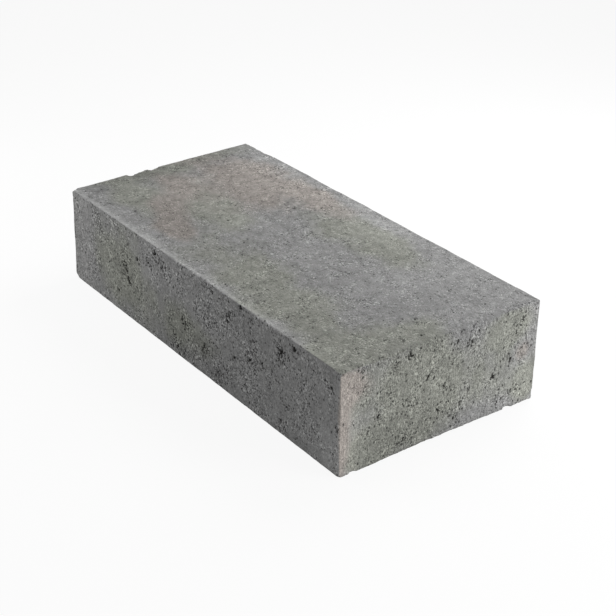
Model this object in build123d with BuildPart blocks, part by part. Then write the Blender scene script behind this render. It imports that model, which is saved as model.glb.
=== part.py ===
"""Solid grey concrete brick, pressed in a mould as one piece.

Millimetres, +Z up. The brick lies on its bed face, with its origin at the
centre of that face, its length along X and its width along Y.
"""

import os

from build123d import *

# Driving dimensions
LENGTH = 250.0  # along X, the stretcher
WIDTH = 120.0  # along Y, the header
HEIGHT = 55.0  # along Z, from bed face to top face
CORNER_RADIUS = 1.5  # the four upright edges, rounded by the corners of the mould
TOP_ARRIS_RADIUS = 1.0  # the edge round the top face, rolled over by the tamping plate
BED_ARRIS_RADIUS = 1.0  # the edge round the bed face, rubbed down in handling

os.makedirs("parts", exist_ok=True)

# The whole brick: a rectangle pressed to its height, then its edges
with BuildPart() as brick:
    with BuildSketch(Plane.XY):
        Rectangle(LENGTH, WIDTH)
    extrude(amount=HEIGHT)
    fillet(brick.edges().filter_by(Axis.Z), CORNER_RADIUS)
    fillet(brick.faces().sort_by(Axis.Z)[-1].edges(), TOP_ARRIS_RADIUS)
    fillet(brick.faces().sort_by(Axis.Z)[0].edges(), BED_ARRIS_RADIUS)

brick.part.label = "brick"
export_step(brick.part, "parts/brick.step")
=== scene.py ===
"""The looks of a solid grey concrete brick, built round its CAD model in the same frame."""

import math

import bpy
import numpy as np
from mathutils import Matrix, Vector


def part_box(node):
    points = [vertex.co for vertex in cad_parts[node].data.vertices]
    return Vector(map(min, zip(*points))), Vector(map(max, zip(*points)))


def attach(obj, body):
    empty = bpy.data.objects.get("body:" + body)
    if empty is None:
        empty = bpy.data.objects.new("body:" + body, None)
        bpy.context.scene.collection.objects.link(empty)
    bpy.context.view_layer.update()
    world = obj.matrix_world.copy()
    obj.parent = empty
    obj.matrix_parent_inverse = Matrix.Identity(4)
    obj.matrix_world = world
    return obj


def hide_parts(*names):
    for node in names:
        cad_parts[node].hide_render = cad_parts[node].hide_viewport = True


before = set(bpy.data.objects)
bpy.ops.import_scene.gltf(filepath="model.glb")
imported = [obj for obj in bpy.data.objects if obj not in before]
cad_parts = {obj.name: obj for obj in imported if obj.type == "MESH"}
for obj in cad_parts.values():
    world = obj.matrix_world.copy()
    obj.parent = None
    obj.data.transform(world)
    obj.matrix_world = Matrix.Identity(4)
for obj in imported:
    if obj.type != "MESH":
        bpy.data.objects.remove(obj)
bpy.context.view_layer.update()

# The brick
# One block of earth-dry sand and cement concrete, pressed in a steel mould and pushed out while green.
# The tamping plate closes the top, the mould's walls drag the sides open, and handling wears the arrises.
X, Y, Z = 0, 1, 2
MM = 0.001
FACET = 0.5  # mm, the side of a facet before thinning
MOST_TRIANGLES = 190_000
HASH_PRIMES = np.array([73856093, 19349663, 83492791])
SLOPE_COUNT = 4096  # the random slopes that a noise draws from
RAW_SPREAD = 0.27  # of the noise before it is scaled to unit spread

low, high = (np.array(corner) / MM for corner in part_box("brick"))
half = (high - low) / 2
middle = (high + low) / 2


def noise(points, grain, seed):
    """Gradient noise of about unit spread. Each corner of a turned cubic lattice, with cells of the grain's
    size, has a random slope. The eight slopes round a point are read there and blended by a smooth fade."""
    dice = np.random.default_rng(seed)
    lattice_turn = np.linalg.qr(dice.normal(size=(3, 3)))[0]
    slopes = dice.normal(size=(SLOPE_COUNT, 3))
    slopes /= np.linalg.norm(slopes, axis=1, keepdims=True)
    scaled = points / grain @ lattice_turn
    cell = np.floor(scaled).astype(np.int64)
    inside = scaled - cell
    fade = inside**3 * (inside * (inside * 6 - 15) + 10)
    total = np.zeros(len(points))
    for corner in np.ndindex(2, 2, 2):
        slope = slopes[np.bitwise_xor.reduce((cell + corner) * HASH_PRIMES, axis=1) % len(slopes)]
        share = np.prod(np.where(corner, fade, 1 - fade), axis=1)
        total += share * np.sum(slope * (inside - corner), axis=1)
    return total / RAW_SPREAD


def ramp(value, start, end):
    """A smoothstep: 0 at the start, 1 at the end, level at both."""
    t = np.clip((value - start) / (end - start), 0, 1)
    return t * t * (3 - 2 * t)


def patch(points, centre, reach):
    """A soft spot: 1 at the centre, falling as a bell curve with one reach, or one for each axis."""
    return np.exp(-np.sum(((points - centre) / reach) ** 2, axis=1))


def box_shell(counts):
    """Square facets over the six faces of a box of counts cells: the whole-number lattice points, which
    neighbours share, and the four corners of each facet, in the order that faces outwards."""
    stride = np.array([1, counts[X] + 1, (counts[X] + 1) * (counts[Y] + 1)])
    facets = []
    for axis in (X, Y, Z):
        across, up = (axis + 1) % 3, (axis + 2) % 3
        columns = np.arange(counts[across] + 1)[:, None] * stride[across]
        grid = columns + np.arange(counts[up] + 1) * stride[up]
        quads = np.stack([grid[:-1, :-1], grid[1:, :-1], grid[1:, 1:], grid[:-1, 1:]], axis=-1)
        quads = quads.reshape(-1, 4)
        facets += [quads[:, ::-1], quads + counts[axis] * stride[axis]]
    keys, facets = np.unique(np.concatenate(facets), return_inverse=True)
    lattice = np.stack([keys % stride[Y], keys % stride[Z] // stride[Y], keys // stride[Z]], axis=1)
    return lattice, facets.reshape(-1, 4)


counts = np.round(2 * half / FACET).astype(int)
lattice, facets = box_shell(counts)
flat = half * (2 * lattice / counts - 1)

# The rounded block: each point of the box goes to the nearest point of an inner block, then out by the
# radius of the arris. A pair of reaches says where an effect begins and where it is full
ARRIS_RADIUS = 1.0  # mm, as on the CAD model's edges
LEAST_RADIUS = 0.35  # mm
MOST_RADIUS = 2.5  # mm
ARRIS_WEAR = 0.22  # mm, how far the radius comes and goes along an edge
ARRIS_WEAR_SPACING = 11.0  # mm
NICK_RADIUS = 0.9  # mm, how much the radius grows at a nick
NICK_SPACING = 5.0  # mm
NICK_LEVELS = (1.5, 2.6)  # of the noise whose peaks are nicks
END_WEAR = 0.7  # mm more along the middle of the right end's top edge
END_WEAR_REACHES = (8.0, 3.0)  # mm from that edge
END_WEAR_RUN = 14.0  # mm from the edge's ends, over which the wear comes in
BED_GAIN = 0.6  # mm less round the bed, which is crisper
BED_REACHES = (8.0, 3.0)  # mm above the bed
FRONT_GAIN = 0.35  # mm less along the front's top edge and up its right corner
FRONT_REACHES = (6.0, 3.0)  # mm from those edges
nicks = ramp(noise(flat, NICK_SPACING, seed=1), *NICK_LEVELS)
radius = ARRIS_RADIUS + ARRIS_WEAR * noise(flat, ARRIS_WEAR_SPACING, seed=2) + NICK_RADIUS * nicks
from_end_edge = np.hypot(half[X] - flat[:, X], half[Z] - flat[:, Z])
along_end = ramp(np.abs(flat[:, Y]), half[Y], half[Y] - END_WEAR_RUN)
radius += END_WEAR * ramp(from_end_edge, *END_WEAR_REACHES) * along_end
radius -= BED_GAIN * ramp(flat[:, Z], *(reach - half[Z] for reach in BED_REACHES))
from_top_or_right = np.minimum(half[X] - flat[:, X], half[Z] - flat[:, Z])
radius -= FRONT_GAIN * ramp(np.hypot(half[Y] + flat[:, Y], from_top_or_right), *FRONT_REACHES)
radius = np.clip(radius, LEAST_RADIUS, MOST_RADIUS)[:, None]
inner = np.clip(flat, radius - half, half - radius)
outward = flat - inner
outward /= np.linalg.norm(outward, axis=1, keepdims=True)
points = inner + radius * outward

# Which face a point is on, and how far it is from each of the four sides
FACE_TURN = (0.6, 0.8)  # how square to an axis a face is, where it begins and where it is full
is_side = ramp(np.abs(outward[:, Z]), *FACE_TURN[::-1])
is_front = ramp(-outward[:, Y], *FACE_TURN)
is_back = ramp(outward[:, Y], *FACE_TURN)
is_end = ramp(np.abs(outward[:, X]), *FACE_TURN)
from_left = points[:, X] + half[X]
from_right = half[X] - points[:, X]
from_front = points[:, Y] + half[Y]
from_back = half[Y] - points[:, Y]

# Cement paste gathers in the mould's upright corners and leaves a smooth pale band beside them. Each band
# has the face that it is on, the distance from its corner, its width in mm and its strength
PASTE_BANDS = (
    (is_front, from_left, 30, 0.4),
    (is_back, from_right, 16, 0.6),
    (is_back, from_left, 10, 0.8),
    (is_end, from_front, 14, 1.0),
    (is_end, from_back, 14, 0.25),
)
PASTE_CORE = 0.4  # the share of its width where a band is full
WANDER = 1.5  # mm, how far a band's border wanders
WANDER_SPACING = 8.0  # mm
wander = WANDER * noise(points, WANDER_SPACING, seed=3)
paste = np.zeros(len(points))
for face, away, band, fullness in PASTE_BANDS:
    paste = np.maximum(paste, fullness * face * ramp(away + wander, band, PASTE_CORE * band))

# A pale rim of paste is left along the front edge of the top, where the tamping plate ran past. On the
# arris itself a painted highlight makes it brightest, and it fades towards the right
RIM_BAND = 0.42  # how pale the band is
RIM_BAND_REACHES = (8.5, 1.0)  # mm from the front
RIM_RAGGED = 0.6  # the share of the wander that its border has
RIM_HIGHLIGHT = 0.8  # how much paler the arris is, a painted highlight
RIM_HIGHLIGHT_REACHES = (3.0, 0.8)  # mm from the front
RIM_FADE = 70.0  # mm from the right, over which the rim sinks to half
TOP_TURN = (0.25, 0.5)  # how level the top is, where the rim begins and where it is full
on_top = ramp(outward[:, Z], *TOP_TURN)
rim_band = RIM_BAND * ramp(from_front + RIM_RAGGED * wander, *RIM_BAND_REACHES)
# the paste band, and along the arris a painted highlight
paste_rim_and_highlight = on_top * (rim_band + RIM_HIGHLIGHT * ramp(from_front, *RIM_HIGHLIGHT_REACHES))
paste_rim_and_highlight *= 0.5 + 0.5 * ramp(from_right, 0.0, RIM_FADE)

# Where the mix was pressed least the surface stays open: spots on the long front face and on the right end
# face, each as the distance along the face, the distance down from the top, and the spot's size, in mm. The
# top has a few lone pits, as the distances from the left and from the front. The hidden faces have the same
# spots and pits turned through the middle of the brick
FRONT_SPOTS = (
    (63, 33, 6), (72, 15, 5), (58, 24, 3), (50, 43, 2), (83, 11, 4), (91, 4, 4), (99, 9, 5), (120, 32, 6),
    (138, 38, 6), (112, 50, 7), (146, 3, 4), (161, 11, 5), (159, 15, 4), (165, 32, 3), (171, 2, 4),
    (178, 28, 3), (189, 25, 2), (204, 11, 5), (209, 38, 4), (204, 48, 4), (215, 4, 4), (243, 11, 4),
    (247, 30, 3),
)
END_SPOTS = (
    (31, 6, 4), (39, 5, 3), (22, 21, 3), (22, 30, 4), (36, 28, 3), (51, 19, 4), (68, 6, 4), (77, 9, 4),
    (81, 4, 3), (61, 27, 4), (103, 27, 4), (58, 40, 5), (68, 48, 5), (92, 33, 5), (105, 45, 6), (95, 47, 5),
    (109, 8, 4), (37, 47, 4),
)
TOP_PITS = (
    (244, 51), (230, 58), (167, 65), (131, 44), (103, 98), (125, 96), (210, 26), (238, 95), (193, 7),
    (109, 20), (115, 40), (236, 12), (168, 78), (95, 86), (217, 92), (131, 19), (149, 6), (87, 48),
)
LOOSE_SPACING = 16.0  # mm, of the patches where the mix is looser
MOST_LOOSE = 1.5
STREAK = np.array([0.85, 0.85, 2.1])  # mm, the size of a pit on the ends
CRUMB = np.array([1.05, 1.05, 1.9])  # mm, the size of a pit elsewhere
PIT_ROUGHNESS = 0.8  # mm, the size of the bumps that break a pit up
PIT_REACH = np.array([0.8, 0.8, 1.4])  # mm, of the pit at the heart of a spot
PIT_PULL = 0.9  # how much that heart adds to the noise
PIT_PULL_GAIN = 0.16  # the same, for each mm of the spot's size
TOP_PIT_REACH = 0.9  # mm
TOP_PIT_PULL = 3.4
PIT_WALL = 0.35  # of the noise, from the brink of a pit to its floor
LIP_LEVELS = (0.9, 0.2)  # of the noise, how far below the brink its lip lies
centres = [(across - half[X], -half[Y], half[Z] - down) for across, down, size in FRONT_SPOTS]
centres += [(half[X], across - half[Y], half[Z] - down) for across, down, size in END_SPOTS]
sizes = [size for across, down, size in FRONT_SPOTS + END_SPOTS]
loose = 0.25 + 0.15 * is_front - 0.15 * is_end + 0.35 * noise(points, LOOSE_SPACING, seed=5)
streaks = noise(points, STREAK, seed=6)
crumbs = noise(points, CRUMB, seed=4)
holes = 0.75 * (is_end * streaks + (1 - is_end) * crumbs) + 0.6 * noise(points, PIT_ROUGHNESS, seed=7)
for centre, size in zip(np.array(centres), sizes):
    for heart in (centre, -centre):
        loose += patch(points, heart, size)
        holes += (PIT_PULL + PIT_PULL_GAIN * size) * patch(points, heart, PIT_REACH)
for across, back in TOP_PITS:
    centre = np.array([across - half[X], back - half[Y], half[Z]])
    for heart in (centre, -centre):
        holes += TOP_PIT_PULL * patch(points, heart, TOP_PIT_REACH)
loose = np.clip(loose * (1 - 0.9 * paste), 0, MOST_LOOSE) * (0.1 + 0.9 * is_side)

# A pit opens where the noise passes a brink, which is lower on the sides and where the mix is loose
brink = 2.6 - 0.6 * is_side - 1.2 * loose + 0.6 * paste
pit = ramp(holes, brink, brink + PIT_WALL)
# the lip just below a pit's brink is painted paler, a painted highlight where the pit's edge catches light
pit_lip_highlight = ramp(holes, *(brink - level for level in LIP_LEVELS)) * (1 - pit)

# Depth below the box: waves of three sizes, the drag lines of the mould, and the pits. Each wave has its
# depth and its spacing in mm, and its seed
SKIN = 0.08  # mm, the mean depth
WAVES = ((0.04, 38.0, 8), (0.02, 8.0, 9), (0.03, 1.5, 10))
DRAG_DEPTH = 0.015  # mm
DRAG_LINE = np.array([1.3, 1.3, 16.0])  # mm, the size of a drag line
PIT_DEPTH = 1.3  # mm, of a pit where the mix is loosest
depth = np.full(len(points), SKIN)
for wave_depth, spacing, seed in WAVES:
    depth += wave_depth * noise(points, spacing, seed)
depth += is_side * DRAG_DEPTH * noise(points, DRAG_LINE, seed=11)
depth += PIT_DEPTH * pit * (0.55 + 0.3 * loose)
points -= outward * np.maximum(depth, 0.0)[:, None]

# The far left end leans in a little towards its top front corner
LEAN = 2.2  # mm, at that corner
LEAN_BEND = 1.4  # the power by which the lean grows towards the front
LEAN_FOOT = 5.0  # mm above the bed, where it begins
LEAN_HEAD = 6.0  # mm below the top, where it is full
lean_share = ((half[Y] - points[:, Y]) / (2 * half[Y])) ** LEAN_BEND
lean_share *= np.clip((points[:, Z] + half[Z] - LEAN_FOOT) / (2 * half[Z] - (LEAN_FOOT + LEAN_HEAD)), 0, 1)
points[:, X] += LEAN * lean_share * ramp(points[:, X], 0, -half[X])

# Chips: for each axis, the side of the face that is cut, or the place along the edge in mm; the depth of the
# cut along each axis in mm, none along the edge; and how far the cut reaches along the edge in mm
CHIPS = (
    ((-1, -22.4, 1), (4.9, 0, 4.2), 2.7),
    ((-1, -16.5, 1), (2.7, 0, 2.6), 5),
    ((-1, -8.8, 1), (4.0, 0, 3.6), 2.8),
    ((-1, -1, 25), (3.2, 3.2, 0), 16),
    ((-119, 1, 1), (0, 2.3, 1.9), 26),
    ((1, 42.8, -1), (2.0, 0, 2.3), 3),
    ((1, 2, -1), (1.2, 0, 1.1), 46),
    ((-1, -1, -1), (3.8, 2.8, 3.0), 9),
    ((-1, -1, 1), (5.4, 7.0, 3.2), 9),
    ((1, -1, -1), (2.0, 1.2, 1.8), 9),
    ((1, -52.2, -1), (1.2, 0, 1.5), 2.4),
    ((1, -1, 1), (3.6, 3.0, 3.0), 9),
    ((1, -1, 1), (8.0, 5.0, 2.6), 12),
    ((1, 1, 1), (1.6, 1.6, 1.6), 9),
    ((1, 1, -1), (1.4, 1.4, 0.9), 9),
    ((1, 52, -1), (0.6, 0, 0.5), 10),
    ((1, 1, -24), (0.9, 0.9, 0), 10),
    ((-1, -19.6, 1), (3.6, 0, 3.2), 3.4),
    ((-1, -6.4, 1), (3.2, 0, 3.0), 3.6),
)
CHIP_JAG = 0.12  # mm, the roughness of a chip
CHIP_GRAIN = 1.8  # mm, the size of its small bumps
CHIP_LUMP = 5.0  # mm, the size of its large ones
CHIP_SEED = 100  # of the first chip; each chip takes two seeds


def bite(points, at, depths, reach, seed):
    """A chip: a rough plane cuts the edge or corner, so deep along each axis that it crosses. Along an edge
    the cut fades to nothing at its reach. Points outside the plane move straight back to it."""
    at, depths = np.array(at, float), np.array(depths, float)
    crossed = depths > 0
    at = np.where(crossed, at * half, at)
    near = np.flatnonzero(np.all(np.abs(points - at) < reach + 2 * depths, axis=1))
    here = points[near]
    slope = np.where(crossed, np.sign(at) / np.where(crossed, depths, 1), 0)
    run = np.max(np.where(crossed, 0, np.abs(here - at)), axis=1) / reach
    steepness = np.linalg.norm(slope)
    jag = CHIP_JAG * (noise(here, CHIP_GRAIN, seed) + noise(here, CHIP_LUMP, seed + 1)) * steepness
    cut = (1 - run**3) * (1 + jag)
    over = np.maximum(cut - np.sum(slope * (at - here), axis=1), 0)
    points[near] -= slope * (over / steepness**2)[:, None]


for number, chip in enumerate(CHIPS):
    bite(points, *chip, seed=CHIP_SEED + 2 * number)

# Clouds in the tone of the concrete, lighter or darker, in its tint, warm or olive, and in its grain and
# mottle, strong or faint. A few of the tone clouds are painted light and shade instead: dark lines of
# painted shade along three edges, and pale strips of painted light at the front's right corner and low on
# the end.
# Each has the axis of the face that it is held to, or none where it lies along an edge, its centre in mm
# from the middle of the brick, its reach in mm along each axis, and its strength. They too are turned to the
# hidden faces
TONE_AND_PAINTED_LIGHT_CLOUDS = (
    (Z, (-62, -34, 27), (24, 14, 20), -0.16),
    (Z, (-119, 0, 27), (14, 60, 20), -0.21),
    (Z, (-76, 52, 27), (24, 14, 20), 0.19),
    (Z, (14, 54, 27), (22, 12, 20), 0.16),
    # lighter along the whole back edge of the top
    (Z, (0, 60, 27), (130, 17, 20), 0.14),
    (Z, (72, 28, 27), (22, 34, 20), 0.09),
    (Z, (112, 55, 27), (18, 8, 20), 0.08),
    (Z, (52, -50, 27), (56, 12, 20), -0.09),
    (Z, (114, -42, 27), (12, 18, 20), 0.10),
    (Y, (5, -60, -20), (30, 20, 14), -0.16),
    (Y, (40, -60, 20), (30, 20, 12), -0.08),
    (Y, (-85, -60, 0), (16, 20, 30), 0.08),
    (Y, (-10, -60, 14), (40, 20, 16), 0.07),
    (Y, (118, -60, -20), (14, 20, 18), 0.30),
    (X, (125, -14, -20), (20, 26, 11), -0.15),
    (X, (125, 10, 16), (20, 16, 12), -0.09),
    # painted light: lighter low towards the back of the right end, as if lit from the floor
    (X, (125, 44, -20), (20, 30, 16), 0.14),
    (X, (125, -50, -5), (20, 10, 24), 0.13),
    (X, (125, 58, 0), (20, 14, 40), 0.09),
    # painted shade: dark lines along the top's right edge, the front's left upright edge and the front's
    # bottom edge
    (None, (125, 0, 27), (3.2, 80, 4), -0.14),
    (None, (-124, -60, 4), (3, 3, 40), -0.3),
    (None, (0, -60, -27.5), (160, 3, 1.2), -0.15),
    # painted light: pale strips up the front's right corner, where its rounding turns to the lamps
    (None, (125, -60, 0), (1.5, 1.5, 60), 0.25),
    (Y, (125, -60, 0), (1.2, 3, 60), 0.35),
    (Y, (60, -60, -24), (60, 20, 7), 0.06),
)
WARM_CLOUDS = (
    (Z, (-75, 24, 27), (50, 32, 20), 1.0),
    (Z, (-28, 45, 27), (32, 9, 20), 0.7),
    (Z, (-96, -10, 27), (20, 10, 20), 0.5),
    (Z, (-72, -28, 27), (22, 10, 20), 0.8),
    (Z, (-48, -40, 27), (22, 10, 20), 0.8),
    (X, (125, -54, 18), (14, 12, 10), 1.0),
    (X, (125, -58, -5), (14, 6, 30), 0.6),
    (X, (125, 50, 2), (14, 7, 7), 0.7),
    (None, (125, -60, 6), (2.6, 2.6, 24), 0.8),
)
OLIVE_CLOUDS = (
    (Z, (-122, 5, 27), (12, 60, 20), 0.8),
    (Z, (-62, -8, 27), (44, 16, 20), 0.9),
    (Z, (-95, -36, 27), (24, 12, 20), 0.8),
    (Z, (16, 34, 27), (48, 18, 20), 0.9),
    (Z, (40, -40, 27), (84, 22, 20), 0.9),
    (Z, (115, -10, 27), (14, 26, 20), 0.8),
    (Y, (-72, -60, 0), (32, 20, 34), 0.9),
    (Y, (2, -60, -8), (34, 20, 16), 0.8),
    (X, (125, -14, 4), (20, 50, 30), 1.0),
    (X, (125, 42, 18), (14, 16, 9), 0.9),
    (X, (125, 54, -16), (14, 10, 12), 0.8),
    (X, (125, -44, -20), (14, 20, 10), 0.7),
    (Z, (112, -50, 27), (16, 12, 20), 0.9),
)
GRAIN_CLOUDS = (
    (Z, (-75, 54, 27), (44, 14, 20), 0.6),
    (Z, (-75, -18, 27), (44, 36, 20), -0.35),
    (Z, (10, 56, 27), (40, 10, 20), 0.2),
    (Z, (14, -15, 27), (14, 30, 20), 0.4),
    (Z, (62, -10, 27), (16, 12, 20), 0.35),
    (Z, (60, -50, 27), (40, 16, 20), 0.3),
    (Z, (115, 0, 27), (18, 60, 20), 0.25),
    (X, (125, 10, 16), (20, 60, 16), -0.1),
    (X, (125, 30, -18), (20, 30, 12), 0.25),
)
MOTTLE_CLOUDS = (
    (Z, (-45, 50, 27), (55, 24, 20), 0.4),
    (Z, (80, 10, 27), (50, 60, 20), -0.25),
    (Z, (-60, -35, 27), (50, 20, 20), -0.25),
)
CLOUD_TURN = (0.5, 0.8)  # how square to its axis a cloud's face is, where it begins and where it is full


def clouds(group):
    """The sum of a group of soft spots, each held to its face, and of the same turned through the middle."""
    total = np.zeros(len(points))
    for axis, centre, reach, strength in group:
        for turned in (1, -1):
            heart = turned * np.array(centre)
            held = 1 if axis is None else ramp(np.sign(heart[axis]) * outward[:, axis], *CLOUD_TURN)
            total += strength * held * patch(points, heart, reach)
    return total


# What the material reads: the layers above, and on each face the strength of its grain, flecks, unevenness,
# mottle and drawn lines
# Part of this is painted shade: the front, which the lamps barely reach, gets stronger grain and pores
# through its looser mix in place of the shade of fine relief, and the back, which the key lights, gets
# fainter grain and flecks
grain = 0.97 + 0.45 * is_side + 0.4 * is_end - 0.35 * is_back - 0.5 * paste
grain += (0.8 - 0.4 * is_end - 0.4 * is_back) * loose + clouds(GRAIN_CLOUDS)
layers = {
    "pit": pit,
    "pit_lip_highlight": pit_lip_highlight,
    "paste": paste,
    "paste_rim_and_highlight": paste_rim_and_highlight,
    "loose": loose,
    "side": is_side,
    "tone": clouds(TONE_AND_PAINTED_LIGHT_CLOUDS),
    "warm": clouds(WARM_CLOUDS),
    "olive": clouds(OLIVE_CLOUDS),
    "grain": grain,
    "flecked": 18.0 - 6.0 * is_end - 8.0 * is_back,
    "uneven": 1.35 - 0.65 * is_end,
    "mottled": 1.2 - 0.4 * is_side - 0.2 * is_end + clouds(MOTTLE_CLOUDS),
    "drawn": 0.4 * is_side + 0.25 * is_end,
}

mesh = bpy.data.meshes.new("whole_brick")
mesh.vertices.add(len(points))
mesh.vertices.foreach_set("co", ((points + middle) * MM).astype(np.float32).ravel())
mesh.loops.add(facets.size)
mesh.loops.foreach_set("vertex_index", facets.astype(np.int32).ravel())
mesh.polygons.add(len(facets))
mesh.polygons.foreach_set("loop_start", np.arange(0, facets.size, 4, dtype=np.int32))
mesh.update(calc_edges=True)
for layer, values in layers.items():
    mesh.attributes.new(layer, "FLOAT", "POINT").data.foreach_set("value", values.astype(np.float32))
brick = bpy.data.objects.new("concrete_brick", mesh)
bpy.context.scene.collection.objects.link(brick)

# Thinning keeps the facets small in pits and on arrises, and lets them grow where the faces are flat
thin = brick.modifiers.new("thin", "DECIMATE")
thin.ratio = MOST_TRIANGLES / (2 * len(facets))
thin.use_collapse_triangulate = True
thinned = bpy.data.meshes.new_from_object(brick.evaluated_get(bpy.context.evaluated_depsgraph_get()))
brick.modifiers.clear()
brick.data = thinned
thinned.name = "concrete_brick"
thinned.polygons.foreach_set("use_smooth", np.ones(len(thinned.polygons), bool))
corners = np.empty(3 * len(thinned.vertices), np.float32)
thinned.vertices.foreach_get("co", corners)
corners = np.clip(corners.reshape(-1, 3), low * MM, high * MM)
thinned.vertices.foreach_set("co", corners.astype(np.float32).ravel())
thinned.update()

# The flat pattern of the six faces: each triangle lies on the island of the box face that is nearest to it.
# A face is an axis and whether it is at that axis's far end. Its island has the axes that run across it and
# up it, and the place of its lower left corner in mm
PATTERN_GAP = 4.0  # mm, between islands
length, width, height = 2 * half
pattern_side = length + 2 * height + 3 * PATTERN_GAP  # mm, of the square that holds them
ISLANDS = {
    (Z, True): (X, Y, 0, 0),
    (Z, False): (X, Y, 0, width + PATTERN_GAP),
    (Y, False): (Z, X, length + PATTERN_GAP, 0),
    (Y, True): (Z, X, length + height + 2 * PATTERN_GAP, 0),
    (X, True): (Y, Z, 0, length + PATTERN_GAP),
    (X, False): (Y, Z, width + PATTERN_GAP, length + PATTERN_GAP),
}
triangles = np.empty(len(thinned.loops), np.int32)
thinned.loops.foreach_get("vertex_index", triangles)
spread = (corners / MM - middle)[triangles.reshape(-1, 3)]
centroids = spread.mean(axis=1)
nearest = np.argmin(half - np.abs(centroids), axis=1)
beyond = np.take_along_axis(centroids, nearest[:, None], axis=1)[:, 0] > 0
pattern = np.empty((len(spread), 3, 2))
for (axis, far), (across, up, left, bottom) in ISLANDS.items():
    chosen = (nearest == axis) & (beyond == far)
    pattern[chosen, :, 0] = spread[chosen][:, :, across] + half[across] + left
    pattern[chosen, :, 1] = spread[chosen][:, :, up] + half[up] + bottom
unwrapped = thinned.uv_layers.new(name="OFBake")
unwrapped.uv.foreach_set("vector", (pattern / pattern_side).astype(np.float32).ravel())


class Field:
    """A number or colour that changes over a surface: a socket whose sums and products add Math nodes."""

    def __init__(self, tree, socket=None):
        self.tree = tree
        self.socket = socket

    def node(self, kind, settings=None, sockets=None, out=0):
        """Adds a node of a kind, sets its settings, then fills its sockets with values or links."""
        made = self.tree.nodes.new(kind)
        for setting, value in (settings or {}).items():
            setattr(made, setting, value)
        for socket, value in (sockets or {}).items():
            if isinstance(value, Field):
                self.tree.links.new(value.socket, made.inputs[socket])
            else:
                made.inputs[socket].default_value = value
        return Field(self.tree, made.outputs[out])

    def beside(self, out):
        """Another output of the same node."""
        return Field(self.tree, self.socket.node.outputs[out])

    def math(self, operation, first, second):
        """A Math node's operation on two values or fields."""
        return self.node("ShaderNodeMath", {"operation": operation}, {0: first, 1: second})

    def __add__(self, other):
        return self.math("ADD", self, other)

    __radd__ = __add__

    def __mul__(self, other):
        return self.math("MULTIPLY", self, other)

    __rmul__ = __mul__

    def __sub__(self, other):
        return self.math("SUBTRACT", self, other)

    def __rsub__(self, other):
        return self.math("SUBTRACT", other, self)

    def __lt__(self, other):
        return self.math("LESS_THAN", self, other)


def linear(red, green, blue):
    """A colour as seen, in steps of 255, as the linear colour that a shader takes."""
    seen = np.array([red, green, blue]) / 255
    return (*np.where(seen <= 0.04045, seen / 12.92, ((seen + 0.055) / 1.055) ** 2.4), 1.0)


GREY = linear(138.3, 138.3, 137.8)
PASTE = linear(161, 160, 159)
# the painted shade inside pits and pores
PIT_SHADE = linear(48, 47, 45)
NEUTRAL = (1.0, 1.0, 1.0, 1.0)
WARM_TINT = (1.085, 1.0, 0.935, 1.0)
OLIVE_TINT = (0.98, 1.0, 0.90, 1.0)
ROUGHNESS = 0.92
SPECULAR = 0.25
DRAG = 1.3  # how much longer the grain is up the sides than across them
LONG_DRAG = 9.0  # the same, of the faint lines that the mould's walls draw

concrete = bpy.data.materials.new("grey_concrete")
concrete.use_nodes = True
shader = concrete.node_tree.nodes["Principled BSDF"]
field = Field(concrete.node_tree)
place = field.node("ShaderNodeTexCoord", out="Object")
dragged = field.node("ShaderNodeMapping", sockets={"Vector": place, "Scale": (1, 1, 1 / DRAG)})
upright = field.node("ShaderNodeMapping", sockets={"Vector": place, "Scale": (1, 1, 1 / LONG_DRAG)})


def attribute(layer):
    """The value of one of the mesh's layers."""
    return field.node("ShaderNodeAttribute", {"attribute_name": layer}, out="Fac")


def speckle(size, detail=2.0, roughness=0.5, along=dragged):
    """Noise about zero, with grains of a size in mm."""
    sockets = {"Vector": along, "Scale": 1 / (size * MM), "Detail": detail, "Roughness": roughness}
    return field.node("ShaderNodeTexNoise", sockets=sockets) - 0.5


def grains(size):
    """Cells of a size in mm: each cell's own number, and the distance to its seed."""
    sockets = {"Vector": dragged, "Scale": 1 / (size * MM)}
    cell = field.node("ShaderNodeTexVoronoi", sockets=sockets, out="Color")
    return field.node("ShaderNodeSeparateColor", sockets={0: cell}), cell.beside("Distance")


def step(value, start, end):
    """A smoothstep: 0 at the start, 1 at the end, level at both."""
    sockets = {"Value": value, "From Min": start, "From Max": end}
    return field.node("ShaderNodeMapRange", {"interpolation_type": "SMOOTHSTEP"}, sockets)


def mix(share, first, second):
    """The first colour where the share is 0, the second where it is 1, and a blend between."""
    return field.node("ShaderNodeMix", {"data_type": "RGBA"}, {0: share, 6: first, 7: second}, out=2)


# The tint: warm and olive clouds, whose borders a slow drift makes ragged
DRIFT = 25.0  # mm, the size of its swells
DRIFT_STRENGTH = 1.2
TINT_LEVELS = (0.25, 0.75)  # of a cloud, where its tint begins and where it is full
drift = speckle(DRIFT, 3.0)
warmth = step(attribute("warm") + DRIFT_STRENGTH * drift, *TINT_LEVELS)
greenness = step(attribute("olive") - DRIFT_STRENGTH * drift, *TINT_LEVELS)
tint = mix(warmth, mix(greenness, NEUTRAL, OLIVE_TINT), WARM_TINT)

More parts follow.
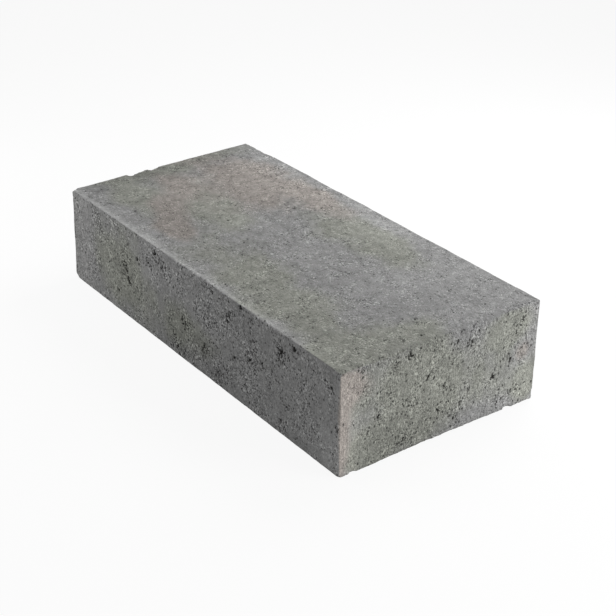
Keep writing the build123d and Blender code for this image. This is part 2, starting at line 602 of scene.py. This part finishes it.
# The tone: sand with stray pale and dark grains, in patches of stronger and fainter grain, a mottle of three
# sizes, and the lines that the mould's walls draw. Each mottle has its strength, size in mm and detail
SAND = 0.85  # mm, the size of a grain
SAND_MEAN = 0.49  # the number of a grain that is neither pale nor dark
FINES = 0.65  # mm, the size of the fines between the grains
GRAIN_PATCH = 9.0  # mm, the size of a patch
GRAIN_PATCH_LEVELS = (0.15, -0.15)  # of the noise, where the grain begins to weaken and where it is faintest
MOTTLES = ((0.4, 2.5, 1.0), (0.7, 6.0, 2.0), (0.4, 35.0, 2.0))
LINE = 0.8  # mm, the width of a drawn line
sand_number, sand_seed = grains(SAND)
stray = sand_number - SAND_MEAN
flecks = stray * stray * stray * stray * stray
fines = speckle(FINES, 2.0, 0.7)
small, medium, large = (strength * speckle(size, detail) for strength, size, detail in MOTTLES)
mottle = small + medium + large
lines = attribute("drawn") * speckle(LINE, 1.0, along=upright)
evenness = step(speckle(GRAIN_PATCH, 2.0), *GRAIN_PATCH_LEVELS)
rough = attribute("grain") * (1.0 + attribute("uneven") * (0.5 - evenness))
sand = 1.6 * fines * rough + attribute("flecked") * flecks * (0.5 + 0.5 * rough)
# painted highlights on the arris rim and on the lips of pits lighten the tone here
tone = 1.0 + attribute("tone") + 0.5 * attribute("paste_rim_and_highlight") + 0.15 * attribute("pit_lip_highlight") + sand
tone = tone + mottle * attribute("mottled") + lines

# Painted shade: the pits of the mesh, and pores too small for it in a few cells of a hundred, more in loose
# mix
PORE = 1.2  # mm, the size of a cell
PORE_EDGE = (0.55, 0.32)  # of a cell, how far from its seed the painted shade begins and where it is full
PIT_EDGE = (0.1, 0.6)  # of a pit's depth, where the painted shade begins and where it is full
PIT_SHADE_STRENGTH = 0.94  # of the painted shade in a pit
PORE_SHADE_STRENGTH = 0.8  # of the painted shade in a pore
smooth = attribute("paste")
pore_number, pore_seed = grains(PORE)
pore_chance = 0.010 + 0.011 * attribute("side") - 0.018 * smooth + 0.09 * attribute("loose")
pores = (pore_number < pore_chance) * step(pore_seed, *PORE_EDGE)
pit_shade = field.math("MAXIMUM", step(attribute("pit"), *PIT_EDGE) * PIT_SHADE_STRENGTH, pores * PORE_SHADE_STRENGTH)

# The colour and the fine relief
PASTE_SHARE = 0.9  # of the paste's own grey, where the paste is full
RELIEF_HEIGHT = 0.6  # mm
RELIEF_STRENGTH = 0.7
colour = mix(smooth * PASTE_SHARE, GREY, PASTE)
colour = field.node("ShaderNodeVectorMath", {"operation": "MULTIPLY"}, {0: colour, 1: tint})
colour = field.node("ShaderNodeVectorMath", {"operation": "SCALE"}, {0: colour, "Scale": tone})
# the painted shade of the pits and pores darkens the colour
colour = mix(pit_shade, colour, PIT_SHADE)
relief = {
    "Height": 0.9 * fines - 0.3 * sand_seed - 0.8 * pores,
    "Distance": RELIEF_HEIGHT * MM,
    "Strength": RELIEF_STRENGTH,
}
bump = field.node("ShaderNodeBump", sockets=relief)
concrete.node_tree.links.new(colour.socket, shader.inputs["Base Color"])
concrete.node_tree.links.new(bump.socket, shader.inputs["Normal"])
shader.inputs["Roughness"].default_value = ROUGHNESS
shader.inputs["Specular IOR Level"].default_value = SPECULAR
thinned.materials.clear()
thinned.materials.append(concrete)

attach(brick, "root")
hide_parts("brick")

# The floor
# A wide pale studio sheet that takes the brick's soft shadow. Its glow makes it white to look at, while the
# colour that it throws on the brick is a pale grey, so that the brick's sides keep their shade.
FLOOR_HALF = 4.0  # m
FLOOR_GREY = (0.68, 0.68, 0.68, 1.0)
FLOOR_WHITE = (1.0, 1.0, 1.0, 1.0)
FLOOR_GLOW = 0.9  # the share of what the camera sees that shadows don't reach
square = [(x * FLOOR_HALF, y * FLOOR_HALF, 0) for x, y in ((-1, -1), (1, -1), (1, 1), (-1, 1))]
floor_mesh = bpy.data.meshes.new("floor")
floor_mesh.from_pydata(square, [], [(0, 1, 2, 3)])
floor = bpy.data.objects.new("floor", floor_mesh)
bpy.context.scene.collection.objects.link(floor)
white = bpy.data.materials.new("white_sheet")
white.use_nodes = True
white.node_tree.nodes.remove(white.node_tree.nodes["Principled BSDF"])
sheet = Field(white.node_tree)


def in_view(surface):
    """1 for rays from the camera, straight or by way of gloss or glass, and 0 for the rest."""
    ray = surface.node("ShaderNodeLightPath", out="Is Camera Ray")
    mirrored = surface.math("MAXIMUM", ray.beside("Is Glossy Ray"), ray.beside("Is Transmission Ray"))
    return surface.math("MAXIMUM", ray, mirrored)


matt = sheet.node("ShaderNodeBsdfDiffuse", sockets={"Color": FLOOR_GREY})
pale = sheet.node("ShaderNodeBsdfDiffuse", sockets={"Color": FLOOR_WHITE})
glow = sheet.node("ShaderNodeEmission", sockets={"Color": FLOOR_WHITE, "Strength": 1.0})
shown = sheet.node("ShaderNodeMixShader", sockets={0: FLOOR_GLOW, 1: pale, 2: glow})
both = sheet.node("ShaderNodeMixShader", sockets={0: in_view(sheet), 1: matt, 2: shown})
white.node_tree.links.new(both.socket, white.node_tree.nodes["Material Output"].inputs["Surface"])
floor_mesh.materials.append(white)

# The light
# Three soft disk lamps in a pale room: a key high behind the brick, a lower one behind its right end, and a
# weak fill at the front left. Each has its name, its place in metres and its power in watts.
AIM = Vector((0, 0, half[Z] * MM))
LAMP_SIZE = 0.36  # m
LAMPS = (
    ("key", (-0.035, 0.300, 0.330), 1.31),
    ("side", (0.471, 0.231, 0.168), 1.46),
    ("fill", (-0.300, -0.234, 0.123), 0.51),
)
ROOM_LIGHT = 0.35  # what the room throws on the brick, where 1 is white
ROOM_WHITE = (1.0, 1.0, 1.0, 1.0)
for lamp_name, stand, watts in LAMPS:
    lamp = bpy.data.lights.new(lamp_name, "AREA")
    lamp.shape = "DISK"
    lamp.size = LAMP_SIZE
    lamp.energy = watts
    holder = bpy.data.objects.new(lamp_name, lamp)
    facing = (AIM - Vector(stand)).to_track_quat("-Z", "Y").to_matrix().to_4x4()
    holder.matrix_world = Matrix.Translation(stand) @ facing
    holder.visible_camera = False
    bpy.context.scene.collection.objects.link(holder)
room = bpy.data.worlds.new("room")
room.use_nodes = True
bpy.context.scene.world = room
room_strength = in_view(Field(room.node_tree)) * (1 - ROOM_LIGHT) + ROOM_LIGHT
background = room.node_tree.nodes["Background"]
background.inputs["Color"].default_value = ROOM_WHITE
room.node_tree.links.new(room_strength.socket, background.inputs["Strength"])
bpy.context.scene.view_settings.view_transform = "Standard"

# The camera
# It stands where the photograph's did, found from the seven corners of the brick that show, and looks along
# the same line through a lens of the same angle.
CAMERA_PLACE = (0.5487, -0.3890, 0.3717)  # m
AZIMUTH, ELEVATION, ROLL = (math.radians(angle) for angle in (53.72, 27.95, 0.42))
SENSOR = 36.0  # mm
LENS = 83.86  # mm
camera = bpy.data.cameras.new("camera")
camera.sensor_width = SENSOR
camera.lens = LENS
eye = bpy.data.objects.new("camera", camera)
look = Matrix.Rotation(AZIMUTH, 4, "Z") @ Matrix.Rotation(math.pi / 2 - ELEVATION, 4, "X")
eye.matrix_world = Matrix.Translation(CAMERA_PLACE) @ look @ Matrix.Rotation(ROLL, 4, "Z")
bpy.context.scene.collection.objects.link(eye)
bpy.context.scene.camera = eye
